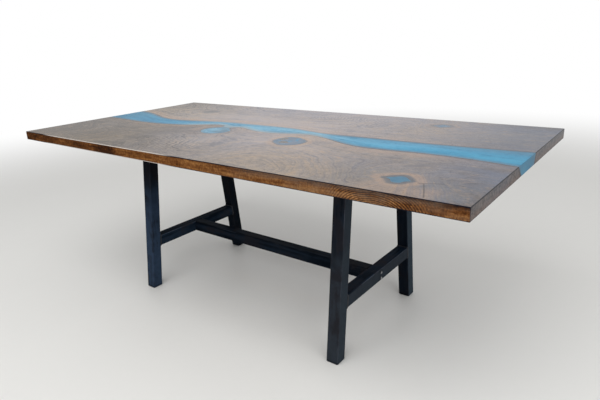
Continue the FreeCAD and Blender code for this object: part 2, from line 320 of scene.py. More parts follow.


# Wood. Colours are of the stained wood itself, except a painted highlight along part of the arris,
# and the darker left end is partly painted shade. The lacquer over it is the shader's coat.
wood = {
    "ringWidth": 0.006, "ringSpread": 0.43, "branchBlend": 0.07,
    "top": ((0.0, (0.012, 0.014, 0.021)), (0.3, (0.078, 0.058, 0.044)), (0.5, (0.15, 0.129, 0.121)),
            (0.72, (0.275, 0.238, 0.218)), (1.0, (0.46, 0.375, 0.32))),
    "side": ((0.0, (0.010, 0.005, 0.006)), (0.3, (0.055, 0.021, 0.008)),
             (0.55, (0.145, 0.055, 0.017)), (0.8, (0.29, 0.134, 0.043)),
             (1.0, (0.47, 0.235, 0.085))),
    "end": ((0.030, 0.029, 0.034), (0.13, 0.11, 0.103)),
    "endWarm": (0.15, 0.075, 0.04),
    "sideGrey": (0.14, 0.103, 0.078),
    # how light the sawn edge is, by place
    "sideLight": ((-105, -4), (-70, 0), (-30, 7), (-10, 9), (10, 18), (50, 22), (70, 17), (85, 5),
                  (105, 8)),
    # where a slab's warmth is given, from 0 for bluish to 100
    "warmPlaces": (-105, -94, -77, -59, -42, -25, -8, 9, 26, 43, 60, 77, 94, 105),
    "stain": (0.115, 0.135, 0.175),  # bluish stretches
    "halo": (0.45, 0.29, 0.19),
    "tan": (0.34, 0.215, 0.135),
    "cool": (0.84, 1.01, 1.4), "warm": (1.16, 0.97, 0.6),  # tints at a warmth of -0.5 and 1.5
    "lateBlue": (0.045, 0.058, 0.078),
    "bark": (0.05, 0.045, 0.048),
    "knotGrey": (0.065, 0.08, 0.10),
    "arris": (0.008, 0.011, 0.018),
    # colour of the painted highlight along the arris
    "arrisHighlight": (0.62, 0.58, 0.54),
    "haloReach": (0.006, 0.022, 0.03, 0.085),  # rises and falls between these, from the bank
    "barkReach": (0.012, 0.002),
    "checkReach": (0.0036, 0.0006),
    # heights between which these rise: cracks, shade and dark line of the sawn edge, its grey, and
    # the ends' warm tone, which falls
    "checkHeight": (0.745, 0.752), "shadeHeight": (0.743, 0.7545), "lineHeight": (0.7545, 0.757),
    "greyHeight": (0.73, 0.752), "warmHeight": (0.75, 0.726),
    "archSpacing": 0.0052,
    # middle, reach and core of the stretch with weak bark, and of the one with a painted highlight
    # on its arris
    "weakBark": (-0.05, 0.45, 0.3), "highlitArris": (-0.44, 0.46, 0.36),
    "arrisReach": (0.008, 0.004),
    "poreSize": (0.012, 0.0011),
    "coat": 0.5,
}
frontSlab = {
    "sawnEdge": -0.525,
    "heart": (-0.07, 0.25),  # in from the sawn edge, and height
    # how far the trunk has grown away from its heart's ring, by place
    "swell": ((-105, 50), (-80, 33), (-60, 17), (-50, 8), (-42, 3), (-34, 8), (-25, 17), (-15, 24),
              (-5, 28), (3, 28), (10, 24), (20, 15), (30, 7), (40, 10), (50, 20), (62, 30),
              (80, 42), (105, 50)),
    "seed": 3.1,
    # how pale the wood is (darker at the left end, partly as painted shade), and how much paler
    # near the bank, by place
    "pale": ((-105, -14), (-60, -8), (-30, 1), (-10, 12), (0, 18), (15, 28), (30, 33), (45, 32),
             (60, 27), (80, 18), (95, 7), (105, 0)),
    "bankPale": ((-105, 0), (-70, 2), (-50, 6), (-35, 6), (-15, 22), (0, 22), (20, 17), (45, 3),
                 (60, 1), (105, 2)),
    # how warm or bluish it is at wood["warmPlaces"], and how much more so towards the sawn edge
    "warmth": (60, 68, 70, 95, 52, 30, 22, 18, 45, 43, 40, 38, 12, 10),
    "sawnWarmth": 0.36,
    # how strong the halo at the bank is, how much is stained bluish, and how well the rings show
    "glow": ((-105, 10), (-90, 12), (-60, 26), (-30, 22), (-10, 12), (30, 12), (60, 27), (80, 20),
             (90, 8), (105, 3)),
    "stained": ((-105, 0), (40, 5), (65, 40), (90, 45), (105, 80)),
    "lined": ((-105, 20), (-50, 24), (-20, 26), (0, 20), (30, 15), (45, 17), (60, 13), (105, 10)),
    "ripple": (-0.17, 0.24, 0.007),  # middle of the rippled stretch, its reach and its height
    # cross stripes of curly wood: their middle, reach both ways, spacing and strength
    "curls": (((-0.19, -0.38), (0.2, 0.14), 0.022, 0.12),
              ((-0.8, -0.36), (0.16, 0.11), 0.02, 0.08)),
    # on the sawn edge the rings arch over this line (along and up) and show this far to each side
    "arches": (0.805, 0.686, 0.19),
    "darkPatch": (-0.416, 0.078),  # on the sawn edge
    "branches": (
        # where a branch crosses the upper face, how far it runs on for each metre down, the ring
        # of its middle line, and how that rises away from the sawn edge
        {"place": (-0.207, -0.11), "run": (0.1, -0.3), "ring": 0.545, "rise": 0.0},
        {"place": (0.229, -0.138), "run": (0.0, -0.2), "ring": 0.58, "rise": 0.0},
        {"place": (0.808, -0.405), "run": (0.0, -2.1), "ring": 0.53, "rise": 0.5},
    ),
    "knots": (
        # the grey ring and the glow round a knot: how wide each is and how strong
        {"place": (0.229, -0.138), "size": (0.134, 0.128), "ring": 0.008, "glow": 0.03,
         "grey": 0.45, "share": 0.45,
         "radii": (102, 96, 90, 100, 108, 104, 98, 94, 92, 102, 108, 106)},
        {"place": (0.811, -0.401), "size": (0.0717, 0.0622), "ring": 0.022, "glow": 0.034,
         "grey": 0.65, "share": 0.6,
         "radii": (104, 80, 84, 98, 82, 80, 102, 66, 78, 108, 102, 78)},
    ),
    "tongue": (0.85, -0.415, 0.15),  # paler wood from the right knot out to the sawn edge
    "checks": (((0.872, -0.409), (0.932, -0.386)), ((0.888, -0.412), (0.909, -0.459)),
               ((0.909, -0.459), (0.931, -0.512))),  # both ends of each drying crack
}
backSlab = {
    "sawnEdge": 0.525,
    "heart": (-0.08, 0.3),
    "swell": ((-105, 40), (-70, 30), (-45, 15), (-20, 5), (0, 12), (25, 28), (45, 33), (60, 25),
              (75, 12), (90, 8), (105, 12)),
    "seed": 8.4,
    # darker at the left end, partly as painted shade
    "pale": ((-105, 11), (-95, 12), (-80, 20), (-50, 38), (-20, 44), (10, 46), (40, 37), (70, 31),
             (95, 10), (105, 6)),
    "warmth": (90, 92, 64, 52, 24, 13, 18, 20, 22, 20, 42, 42, 40, 40),
    "sawnWarmth": -0.22,
    "bankPale": ((-105, 0), (-70, 2), (-50, 12), (-10, 12), (10, 8), (40, 2), (105, 0)),
    "glow": ((-105, 40), (-55, 60), (-35, 40), (0, 26), (30, 14), (105, 5)),
    "stained": ((-105, 0), (40, 5), (60, 20), (80, 45), (105, 65)),
    "lined": ((-105, 34), (-50, 28), (10, 24), (40, 20), (60, 12), (105, 8)),
    "ripple": (-0.9, 0.3, 0.003),
    "curls": (((0.15, 0.33), (0.35, 0.15), 0.017, 0.08),),
    "arches": (-0.35, 0.686, 0.25),
    "darkPatch": (0.3, 0.1),
    "branches": (
        {"place": (0.622, 0.385), "run": (0.0, 0.4), "ring": 0.5, "rise": 0.0},
        {"place": (-0.64, 0.28), "run": (0.1, 0.2), "ring": 0.55, "rise": 0.0},
    ),
    "knots": (
        {"place": (0.622, 0.385), "size": (0.0717, 0.0547), "ring": 0.024, "glow": 0.02,
         "grey": 0.35, "share": 0.25, "radii": (100, 90, 104, 92, 98, 86, 102, 84)},
        {"place": (-0.64, 0.28), "size": (0.05, 0.04), "ring": 0.035, "glow": 0.02,
         "grey": 0.55, "share": 0.2, "radii": (100, 90, 110, 92, 98, 86, 102, 94)},
    ),
    "checks": (),
}


def growthRings(x, y, z, slab, bank):
    # Distance from the tree's heart. Across a slab it is spread evenly from the sawn edge to the
    # bank, so the rings follow the bank. Each branch adds the distance from its own line.
    inward, heartHeight = slab["heart"]
    share = (y - slab["sawnEdge"]) / (bank - slab["sawnEdge"])
    swell = byPlace(x, slab["swell"]) * step(share, 1.0, 0.35)
    rings = length(share * wood["ringSpread"] - inward, swell, z - heartHeight)
    seed = slab["seed"]
    rings = rings + (pattern(x * 1.3 + seed, y * 3.5, z * 3.5, 1.0) - 0.5) * 0.05
    rings = rings + (pattern(x * 5 + seed, y * 11, z * 11) - 0.5) * 0.02
    drop = table["height"] - z
    for branch in slab["branches"]:
        runX, runY = branch["run"]
        offX = x - branch["place"][0] - drop * runX
        offY = (y - branch["place"][1] - drop * runY) * (1 / math.hypot(1, runY))
        own = length(offX, offY) + branch["ring"] + abs(y - slab["sawnEdge"]) * branch["rise"]
        rings = rings.math("SMOOTH_MIN", rings, own, wood["branchBlend"])
    place, reach, height = slab["ripple"]
    ripple = pattern(x * 20 + seed, y * 36, z * 36, 1.0) - 0.5
    ripple = ripple * (near(x, place, reach, reach * 0.4) * height * 2 + 0.006)
    return rings + ripple


def segmentDistance(x, y, start, end):
    # Distance to the straight line between two points
    alongX, alongY = end[0] - start[0], end[1] - start[1]
    span = alongX ** 2 + alongY ** 2
    share = (x - start[0]) * (alongX / span) + (y - start[1]) * (alongY / span)
    share = share.node("Clamp", {}, {"Value": share})
    return length(x - start[0] - share * alongX, y - start[1] - share * alongY)


def onEnds(x):
    return step(abs(x) - halfLength, *table["onSide"])


def outerSides(x, y, z):
    # The sawn long sides, the ends and the underside of the whole top, and its eased edges
    longSide, endSide = step(abs(y) - halfWidth, *table["onSide"]), onEnds(x)
    under = step(underside - z, *table["onSide"])
    halfThickness = table["thickness"] / 2
    face = step(abs(z - underside - halfThickness) - halfThickness, *table["onFace"])
    return longSide, endSide, under, step(longSide + endSide + face, *table["eased"])


def slabWood(name, slab, isFront):
    material, place = newMaterial(name)
    x, y, z = separate(place)
    seed = slab["seed"]
    backBank, frontBank = bankWires(x, y, z)
    bank = frontBank if isFront else backBank
    shore = smallest(bank - y, lobeDistance(x, y)) if isFront else y - bank
    rings = growthRings(x, y, z, slab, bank)
    longSide, endSide, under, eased = outerSides(x, y, z)

    # rings vary in width. Each darkens slowly and ends soon, and no two are as dark
    spread = pattern(rings * 36, seed, 0.0)
    phase = rings / wood["ringWidth"] + spread * 6
    ringSeed = phase.node("TexWhiteNoise", {"noise_dimensions": "1D"},
                          {"W": phase.math("FLOOR", phase)})
    share = phase.math("FRACT", phase)
    broken = pattern(x * 18, rings * 240, z * 30, 3.0, 0.7)
    worn = pattern(x * 45, y * 90, z * 90, 3.0, 0.7)
    late = (step(share, 0.15, 0.8) * step(share, 1.0, 0.86) * (0.1 + ringSeed * 0.9)
            * step(broken * 0.6 + worn * 0.4, 0.3, 0.66) * 1.3)

    # broad bands and streaks along the rings, patches, then fibres and pores along the length
    band = pattern(x * 1.6 + seed, rings * 24, z * 4, 2.0, 0.55) - 0.5
    streak = pattern(x * 14, rings * 170, z * 40, 3.0, 0.7) - 0.5
    patch = pattern(x * 11, y * 16 + seed, z * 16, 3.0, 0.6) - 0.5
    cloud = pattern(x * 2.6, y * 3.4, seed) - 0.5
    fleck = pattern(x * 190, y * 130, z * 110, 2.0, 0.6) - 0.5
    fibre = pattern(x * 22, y * 420, z * 420, 2.0, 0.7)
    poreLength, poreWidth = wood["poreSize"]
    pores = x.node("TexVoronoi", {}, {"Vector": vector(x / poreLength, y / poreWidth,
                                                       z / poreWidth), "Scale": 1.0})
    pore = step(pores, 0.34, 0.18) * step(late, 0.6, 0.2)
    mottle = pattern(x * 48, y * 60 + seed, z * 60, 3.0, 0.65) - 0.5

    if isFront:
        middle, top, reach = slab["tongue"]
        tongue = near(x + patch * 0.1, middle, reach, reach * 0.5) * step(y, top, top - 0.06)
        late = late * (1 - tongue * (1 - longSide) * 0.8)
    waves = []
    for middle, reach, spacing, strength in slab["curls"]:
        offX, offY = x - middle[0], y - middle[1]
        bend = pattern(x * 9, y * 15, seed) * 2.5
        bend = bend + offY * offY * 60 + offY * 9
        wave = x.math("SINE", (offX / spacing + bend) * (2 * math.pi))
        curled = step(length(offX / reach[0], offY / reach[1]), 1.1, 0.3)
        waves.append(wave * curled * (1 - longSide) * (patch + 0.5) * (2 * strength))
    stripes = sum(waves[1:], waves[0])
    lined = byPlace(x, slab["lined"])
    figure = (band * 0.2 + streak * (lined * 0.4 + 0.2) + patch * 0.28 + cloud * 0.3
              + mottle * 0.35 + stripes)
    bankPale = byPlace(x, slab["bankPale"]) * step(shore, 0.3, 0.11)
    # the paleness by place is partly painted shade at the left end
    tone = figure - (late - 0.17) * lined + byPlace(x, slab["pale"]) + bankPale + 0.43

    patchMiddle, patchReach = slab["darkPatch"]
    sideDark = near(x + patch * 0.12, patchMiddle, patchReach * 1.1, patchReach * 0.3)
    topShade = (step(z + patch * 0.02 + mottle * 0.008, *wood["shadeHeight"])
                * step(x + cloud * 0.7 + patch * 0.5, 0.0, 0.35))
    topShade = largest(topShade, step(z, *wood["lineHeight"]) * step(x, -0.2, 0.0))
    archPlace, archHeight, archReach = slab["arches"]
    archRings = length((x - archPlace) * 0.65, z - archHeight) + patch * 0.01 + cloud * 0.02
    arches = archRings.math("COSINE", archRings * (2 * math.pi / wood["archSpacing"]))
    arches = arches * (worn * 0.5 + 0.25) * near(x, archPlace, archReach, archReach * 0.3) * 0.52
    sideStreak = pattern(x * 12, seed, z * 150, 3.0, 0.65) - 0.5
    sideBand = pattern(x * 6 + 3.0, seed, z * 55, 3.0, 0.6) - 0.5
    sideTone = (band * 0.2 + sideStreak * 0.7 + sideBand * 0.6 + patch * 0.3 + fleck * 0.7
                + mottle * 0.25 + arches + byPlace(x, wood["sideLight"]) + 0.43
                - sideDark * 0.31 - topShade * 0.3)
    colour = tone.node("ValToRGB", {"stops": wood["top"]}, {"Fac": tone})
    stained = byPlace(x, slab["stained"]) * step(cloud + patch * 0.6, -0.12, 0.12)
    colour = stained.mix(colour, wood["stain"])
    # the stain leaves some fibres tan, darkens the ends of the rings to blue, and the grain goes
    # from warm to bluish and back
    tan = step(streak * 0.7 + mottle * 0.8 + fleck * 0.3, 0.04, 0.26)
    colour = (tan * (1 - late) * 0.3).mix(colour, wood["tan"])
    colour = (late * lined * 0.7).mix(colour, wood["lateBlue"])
    warmth = byPlace(x, np.stack([wood["warmPlaces"], slab["warmth"]], 1))
    warmth = warmth + step(abs(y), 0.25, 0.45) * slab["sawnWarmth"]
    warmth = warmth + streak * 1.15 + patch * 0.5 + stripes - (late - 0.17) * 0.2
    colour = colour.node("VectorMath", {"operation": "MULTIPLY"},
                         {0: colour, 1: (warmth * 0.5 + 0.25).mix(wood["cool"], wood["warm"])})

    rise, full, wane, gone = wood["haloReach"]
    halo = (step(shore, rise, full) * step(shore, gone, wane) * (1 + band * 1.5 + patch * 3)
            * byPlace(x, slab["glow"]))
    knotRings = []
    for knot in slab["knots"]:
        off = knotDistance(x, y, knot) + patch * 0.012
        start, glow = knot["ring"], knot["glow"]
        lit = step(off, start + glow, start + glow * 0.3) * step(off, start * 0.4, start)
        halo = largest(halo, lit * (0.8 + streak * 1.2) * knot["share"])
        knotRings.append(step(off, start * 1.2, start * 0.3) * knot["grey"])
    if isFront:
        halo = largest(halo, tongue * (0.3 + streak * 0.5))
    halo = halo.node("Clamp", {}, {"Value": halo})
    colour = (halo * (1 - late * 0.45) * (1 - endSide * 0.6)).mix(colour, wood["halo"])
    side = sideTone.node("ValToRGB", {"stops": wood["side"]}, {"Fac": sideTone})
    side = (step(x, 0.1, 0.6) * step(sideBand + patch * 0.7, -0.2, 0.2)
            * (step(z + patch * 0.04, *wood["greyHeight"]) * 0.32 + 0.28)
            * (1 - step(x, 0.7, 0.95) * 0.2)).mix(side, wood["sideGrey"])
    colour = longSide.mix(colour, side)
    endGrain = step(fleck + mottle * 0.6 - late * 0.15, -0.25, 0.15).mix(*wood["end"])
    endGrain = (step(z + mottle * 0.02, *wood["warmHeight"]) * 0.4).mix(endGrain, wood["endWarm"])
    colour = (endSide * 0.75).mix(colour, endGrain)
    colour = largest(*knotRings).mix(colour, wood["knotGrey"])
    bark = step(shore + cloud * 0.006 + streak * 0.006, *wood["barkReach"])
    bark = bark * (0.75 - near(x, *wood["weakBark"]) * 0.4)
    colour = bark.mix(colour, wood["bark"])

    height = 0.5 - late * 0.25 - pore * 0.9 + fibre * 0.35
    if slab["checks"]:
        check = largest(*(step(segmentDistance(x, y, *ends) + (fibre - 0.5) * 0.001,
                               *wood["checkReach"]) * 0.7 for ends in slab["checks"]))
        check = check * step(z, *wood["checkHeight"])
        colour = check.mix(colour, wood["bark"])
        height = height - check * 2.0

    colour = colour.shade((0.84 + fibre * 0.32) * (1 - pore * 0.6))
    # eased edges are dark, and along one stretch of the sawn edge their arris carries a painted
    # highlight
    arrisHighlight = (near(x + cloud * 0.2, *wood["highlitArris"])
                  * near(y, slab["sawnEdge"], *wood["arrisReach"]))
    colour = (eased * 0.85).mix(colour, arrisHighlight.mix(wood["arris"], wood["arrisHighlight"]))
    coat = (1 - pore * 0.25 - late * 0.08) * (1 - longSide * 0.97) * (1 - endSide * 0.2)
    coat = coat * (1 - under * 0.7) * wood["coat"]
    others = {"Coat Weight": coat, "Coat Roughness": 0.16, "Coat IOR": 1.45,
              "Specular IOR Level": 0.0}
    return finishMaterial(material, colour, 0.5 + pore * 0.2 + band * 0.2, others, height,
                          (0.3, 0.0003))


dress("front_slab", slabWood("frontSlabWood", frontSlab, True))
dress("back_slab", slabWood("backSlabWood", backSlab, False))
print("slabs stained")

# Bits of knot wood in the middle knot: dark, curled and full of short cracks
knotWood = {"dark": (0.03, 0.02, 0.014), "light": (0.13, 0.075, 0.04), "ringWidth": 0.0045}


def makeKnotWood():
    material, place = newMaterial("knotCoreWood")
    x, y, z = separate(place)
    curl = pattern(x * 9, y * 9, z * 5)
    middleX, middleY = frontSlab["knots"][0]["place"]
    rings = (length(x - middleX, y - middleY) + curl * 0.03) / knotWood["ringWidth"]
    fall = rings.math("FRACT", rings)
    late = step(fall, 0.3, 0.9) * step(fall, 1.0, 0.92)
    grain = pattern(x * 160, y * 160, z * 30, 3.0, 0.65)
    colour = step(curl * 0.6 + grain * 0.5, 0.35, 0.75).mix(knotWood["dark"], knotWood["light"])
    colour = colour.shade(1.05 - late * 0.4)
    return finishMaterial(material, colour, 0.2 + grain * 0.15, {"IOR": 1.5}, grain - late * 0.4,
                          (0.3, 0.0003))


dress("middle_knot_cores", makeKnotWood())

# Resin. Pearl pigment lies in long soft streaks that follow the river.
resin = {
    "deep": (0.010, 0.165, 0.315),
    "plain": (0.048, 0.29, 0.475),
    "pale": (0.27, 0.51, 0.66),
    "grey": (0.12, 0.17, 0.215),
    "haze": (0.29, 0.36, 0.385),  # at the banks of its narrow stretch
    "current": (0.06, 0.42, 0.62),  # the bright streak along its wide end
    "smoke": (0.19, 0.21, 0.26),  # cloudy resin in the knots
    "ink": (0.07, 0.15, 0.22),  # the small right knot's
    "coat": 0.13,
    "narrow": (-0.08, 0.48, 0.32),  # middle of its narrow stretch, and how far it reaches
    "neck": ((-0.21, -0.024), (0.036, 0.042)),  # middle of the grey neck, and its reach
    "flakes": (900.0, 0.16),  # how fine the pearl's flakes are, and how much they glint
}


def resinColour(x, y, z, along, across, paleness, greyness, grey):
    # along runs with the river and across runs over it. The streaks are noise pulled out along it.
    swirl = pattern(along * 2.4, across * 1.6, z * 8) - 0.5
    streak = pattern(along * 5 + swirl * 2.5, across * 5 + swirl * 3.0, z * 30, 4.0, 0.6)
    cloud = pattern(along * 3.0 + 4.0, across * 1.5 + swirl, z * 10)
    fine = pattern(x * 60, y * 60, z * 60, 3.0, 0.65)
    mixed = streak * 0.4 + cloud * 0.35 + fine * 0.25
    colour = step(mixed, 0.36, 0.6).mix(resin["deep"], resin["plain"])
    colour = (step(mixed, 0.34, 0.6) * paleness).mix(colour, resin["pale"])
    colour = greyness.mix(colour, grey)
    fineness, strength = resin["flakes"]
    flake = x.node("TexVoronoi", {}, {"Vector": vector(x, y, z), "Scale": fineness}, out="Color")
    glint = flake.node("SeparateColor", {}, {0: flake})
    return colour.shade(1 + (glint - 0.5) * strength), streak


def finishResin(material, place, colour, streak, coat):
    others = {"Coat Weight": coat, "Coat Roughness": 0.1, "Coat IOR": 1.5,
              "Specular IOR Level": 0.05}
    return finishMaterial(material, colour, 0.4 + streak * 0.12, others, noise(place, 30.0, 1.0),
                          (0.12, 0.0004))


def makeRiverResin():
    material, place = newMaterial("riverResin")
    x, y, z = separate(place)
    backBank, frontBank = bankWires(x, y, z)
    share = (y - frontBank) / (backBank - frontBank)
    lobe = lobeDistance(x, y)
    inside = y - frontBank
    shore = smallest(largest(inside, lobe * -1.0), backBank - y)
    smoke = noise(place, 26.0, 3.0, 0.6, 0.5)
    # grey along the rims, towards both banks, in the neck and on one side of the lobe
    narrow = near(x, *resin["narrow"]) * step(inside + smoke * 0.02, -0.02, 0.012)
    rim = step(shore, 0.03, 0.0) * (0.66 - narrow * 0.24)
    backBand = step(share, 0.5, 1.05) * (step(x, 0.4, 0.9) * 0.36 + 0.12)
    frontBand = step(inside, 0.04, 0.005) * narrow * 0.8
    (neckX, neckY), (reachX, reachY) = resin["neck"]
    neck = length((x - neckX) / reachX, (y - neckY) / reachY) + (smoke - 0.5) * 1.2
    neck = step(neck, 1.25, 0.45) * 0.85
    murky = step(x + y * 0.6 + (smoke - 0.5) * 0.15, -0.275, -0.215) * 0.5 + 0.25
    murky = step(lobe, 0.0, -0.015) * step(y + smoke * 0.03, -0.015, -0.06) * murky
    greyness = largest(rim, backBand, frontBand, neck, murky)
    endSide = onEnds(x)
    paleness = byPlace(x, river["pale"]) * step(share, 1.35, 0.55)
    current = step(abs(share - 0.3 + (smoke - 0.5) * 0.3), 0.3, 0.05) * step(x, 0.35, 0.6) * 0.22
    colour, streak = resinColour(x, y, z, x, share, paleness, greyness,
                                 narrow.mix(resin["grey"], resin["haze"]))
    colour = current.mix(colour, resin["current"])
    colour = (endSide * (smoke * 0.6 + 0.3)).mix(colour, resin["ink"])
    # lightness by place, with painted shade at the left end
    colour = colour.shade(byPlace(x, river["light"]))
    return finishResin(material, place, colour, streak, (1 - endSide * 0.5) * resin["coat"])


def makeKnotResin(name, knot, murk, tint="smoke"):
    material, place = newMaterial(name)
    x, y, z = separate(place)
    outwards, low, high, strength, pale, rim = murk
    offX, offY = x - knot["place"][0], y - knot["place"][1]
    away = length(offX, offY)
    turn = x.math("ARCTAN2", offY, offX)
    cloud = noise(place, 20.0, 3.0, 0.6, 0.6)
    greyness = step(cloud + away * outwards, low, high) * strength
    colour, streak = resinColour(x, y, z, away * 6 + turn * 0.2, cloud * 2, cloud * pale, greyness,
                                 resin[tint])
    colour = (step(away, rim * 0.7, rim) * 0.6).mix(colour, resin["grey"])
    return finishResin(material, place, colour, streak, resin["coat"])


# how the murk of a knot's resin grows outwards, between which values and how strong it is, how
# pale the resin gets and how far out its rim is
murks = {"middle": (2.0, 0.4, 0.62, 0.85, 0.8, 0.068), "right": (7.0, 0.3, 0.6, 0.8, 0.0, 0.036),
         "back": (3.0, 0.2, 0.55, 0.9, 0.9, 0.05)}
middleKnot, rightKnot = frontSlab["knots"]
dress("river_resin", makeRiverResin())
dress("front_knot_fill_middle", makeKnotResin("middleKnotResin", middleKnot, murks["middle"]))
dress("front_knot_fill_right", makeKnotResin("rightKnotResin", rightKnot, murks["right"], "ink"))
dress("back_knot_fill_right", makeKnotResin("backKnotResin", backSlab["knots"][0], murks["back"]))
print("resin poured")

# Steel of the frames: mill scale blackened and lacquered, with streaks along each tube, a painted
# highlight along its rounded edges, and painted light and shade in each tube's tone
steel = {
    "black": (0.0025, 0.005, 0.009),
    "blue": (0.010, 0.018, 0.031),
    "brown": (0.011, 0.010, 0.012),
    # colour of the painted highlight on the rounded edges
    "worn": (0.11, 0.125, 0.155),
    "seam": (0.004, 0.004, 0.005),
    "metallic": 0.03,
    # out from a tube's middle line: where the painted highlight on its rounded edges lies, and
    # where its outer face starts
    "edgeHighlight": (0.0222, 0.0236), "outerFace": (0.0236, 0.0246),
    "seamReach": (0.0013, 0.0005),
}
# how light each tube is painted, as painted light and shade for the light that falls on it, its
# lacquer, the painted light on its outer face, and for legs the painted light low down and where
# that ends
tubes = {
    "leftFrontLeg": {"tone": 0.6, "coat": 0.08, "outer": (0.026, 0.036, 0.047),
                     "lower": (0.068, 0.114, 0.2), "reach": (0.7, 0.2)},
    "rightFrontLeg": {"tone": 1.15, "coat": 0.1, "outer": (0.028, 0.037, 0.048),
                      "lower": (0.031, 0.036, 0.043), "reach": (0.6, 0.25)},
    "backLeg": {"tone": 0.68, "coat": 0.05, "outer": (0.038, 0.053, 0.069),
                "lower": (0.010, 0.015, 0.024), "reach": (0.6, 0.25)},
    "rail": {"tone": 1.7, "coat": 0.045, "outer": (0.029, 0.036, 0.045)},
    "plate": {"tone": 1.0, "coat": 0.045},
    "stretcher": {"tone": 1.0, "coat": 0.09},
}


def acrossTube(x, y, z, kind):
    # How far a point is from a tube's middle line, both ways across it, and a vector that is long
    # along the tube. A leg's middle line leans across the table as it rises.
    if kind == "stretcher":
        return y, z - table["railHeight"], vector(x * 3, y * 60, z * 60)
    first = abs(x) - table["frameReach"]
    if kind in ("rail", "plate"):
        return first, z - table["railHeight"], vector(x * 60, y * 3, z * 60)
    return first, abs(y) + z * legLean - table["footReach"], vector(x * 60, y * 60, z * 3)


def blackSteel(kind):
    material, place = newMaterial(kind + "Steel")
    tube = tubes[kind]
    x, y, z = separate(place)
    first, second, lengthwise = acrossTube(x, y, z, kind)
    streak = noise(lengthwise, 1.0, 4.0, 0.6)
    scale = noise(place, 38.0, 3.0, 0.7)
    cloud = noise(place, 7.0, 3.0, 0.6, 0.4)
    grit = noise(place, 700.0, 2.0, 0.6)
    colour = step(streak * 0.7 + cloud * 0.3, 0.4, 0.6).mix(steel["black"], steel["blue"])
    edge = smallest(abs(first), abs(second)) + (cloud - 0.5) * 0.002
    # painted highlight along the rounded edges, in streaks
    edgeHighlight = step(edge, *steel["edgeHighlight"]) * step(streak, 0.38, 0.62)
    colour = (edgeHighlight * 0.8).mix(colour, steel["worn"])
    if "reach" in tube:
        # low down the legs are painted in another tone: painted light, with the floor's painted
        # reflection
        lower = step(z + (cloud - 0.5) * 0.6, *tube["reach"]) * 0.6
        colour = lower.mix(colour, tube["lower"])
        seam = near(z, table["capTop"], *steel["seamReach"])
        colour = seam.mix(colour, steel["seam"])
        streak = streak - seam
    brown = step(cloud * 0.5 + streak * 0.3 + scale * 0.2, 0.47, 0.58)
    colour = (brown * 0.8).mix(colour, steel["brown"])
    # the outer faces are painted lighter: painted light from the side
    if "outer" in tube:
        outer = 0.9 - step(cloud * 0.5 + scale * 0.5, 0.5, 0.6) * 0.3
        outer = outer * step(first, *steel["outerFace"])
        colour = outer.mix(colour, [part / tube["tone"] for part in tube["outer"]])
    # each tube's tone is painted light and shade: lighter where more light falls on it
    colour = colour.shade((0.65 + scale * 0.7) * tube["tone"])
    roughness = 0.42 + grit * 0.1 + (cloud - 0.5) * 0.16 - edgeHighlight * 0.05
    height = streak * 0.5 + grit * 0.5 + cloud * 0.4
    others = {"Metallic": steel["metallic"], "Specular IOR Level": 0.0,
              "Coat Weight": (0.2 + cloud * 0.6) * tube["coat"], "Coat Roughness": 0.25}
    return finishMaterial(material, colour, roughness, others, height, (0.25, 0.0004))


# one steel in lit and shaded copies, each part's tone painted for the light on it
dress(("left_front_leg", "left_front_foot_cap"), blackSteel("leftFrontLeg"))
dress(("right_front_leg", "right_front_foot_cap"), blackSteel("rightFrontLeg"))
dress(("back_leg", "back_foot_cap"), blackSteel("backLeg"))
dress("cross_rail", blackSteel("rail"))
dress("long_stretcher", blackSteel("stretcher"))
print("frames blackened")

# Plates, sleeves and fasteners
bare = {"low": (0.3, 0.3, 0.31), "high": (0.52, 0.52, 0.53), "rust": (0.16, 0.09, 0.055)}
zinc = {"low": (0.26, 0.27, 0.28), "high": (0.46, 0.47, 0.49), "glintWhite": (0.75, 0.76, 0.78),
        "dark": (0.02, 0.022, 0.027), "dull": (0.05, 0.054, 0.062),
        # bolts above and below the rail's middle line, and the reach and place of the painted
        # highlight on their crowns
        "boltRise": 0.012, "crownReach": (0.0048, 0.0036), "crownPlace": (0.5515, 0.5525)}
brass = {"low": (0.5, 0.34, 0.12), "high": (0.78, 0.6, 0.3), "grooves": 5200}
rubber = {"low": (0.018, 0.018, 0.019), "high": (0.055, 0.055, 0.056)}


def bareSteel():
    # saw and mill marks across, a little rust in patches
    material, place = newMaterial("bareSteel")
    marks = noise(place.node("Mapping", {}, {"Vector": place, "Scale": (900.0, 60.0, 60.0)}), 1.0,
                  3.0, 0.6)
    patch = noise(place, 60.0, 4.0, 0.65)
    colour = step(marks, 0.3, 0.7).mix(bare["low"], bare["high"])
    rust = step(patch, 0.58, 0.72)
    colour = (rust * 0.7).mix(colour, bare["rust"])
    return finishMaterial(material, colour, 0.32 + marks * 0.15 + rust * 0.35,
                          {"Metallic": 1 - rust * 0.7}, marks + rust * 0.5, (0.3, 0.0003))


def zincPlate():
    # fine turning lines and faint milky clouds
    material, place = newMaterial("zincPlate")
    turning = noise(place, 1800.0, 2.0, 0.6)
    cloud = noise(place, 220.0, 3.0, 0.6)
    colour = step(cloud, 0.35, 0.65).mix(zinc["low"], zinc["high"])
    return finishMaterial(material, colour, 0.2 + cloud * 0.16 + turning * 0.05,
                          {"Metallic": 1.0}, turning, (0.2, 0.0001))


